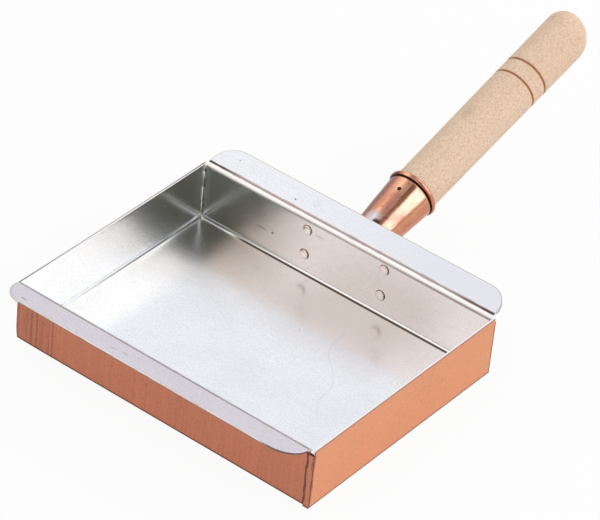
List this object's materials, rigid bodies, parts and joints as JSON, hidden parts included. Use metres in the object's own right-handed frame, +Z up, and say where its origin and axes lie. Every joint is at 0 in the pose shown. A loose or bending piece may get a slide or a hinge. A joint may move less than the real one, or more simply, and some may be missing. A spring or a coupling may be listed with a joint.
{
  "type": "tamagoyaki pan",
  "caption": "Rectangular omelette pan: shallow tinned copper tray with flanged front and back walls and a sloping wooden handle in a riveted copper socket.",
  "frame": {"origin": "centre of the tray's flat base", "axes": "+Z up out of the tray, +Y along the handle, +X to the right seen from the front"},
  "size_m": [0.195, 0.3701, 0.0892],
  "materials": {
    "copper_sheet": "fine brushed copper",
    "tin_lining": "wiped tin, satin",
    "tin_solder": "drawn tin solder",
    "polished_copper": "polished copper",
    "rivet": "copper rivet, tinned inside the tray",
    "plain_wood": "turned and sanded, unvarnished",
    "iron_nail": "dark iron"
  },
  "bodies": {
    "root": {"tray_body": "copper_sheet", "tin_lining": "tin_lining", "solder_front_left": "tin_solder", "solder_front_right": "tin_solder", "solder_back_left": "tin_solder", "solder_back_right": "tin_solder", "handle_socket": "polished_copper", "rivet_upper_left": "rivet", "rivet_upper_right": "rivet", "rivet_lower_left": "rivet", "rivet_lower_right": "rivet", "wooden_handle": "plain_wood", "handle_nail": "iron_nail"}
  },
  "joints": []
}
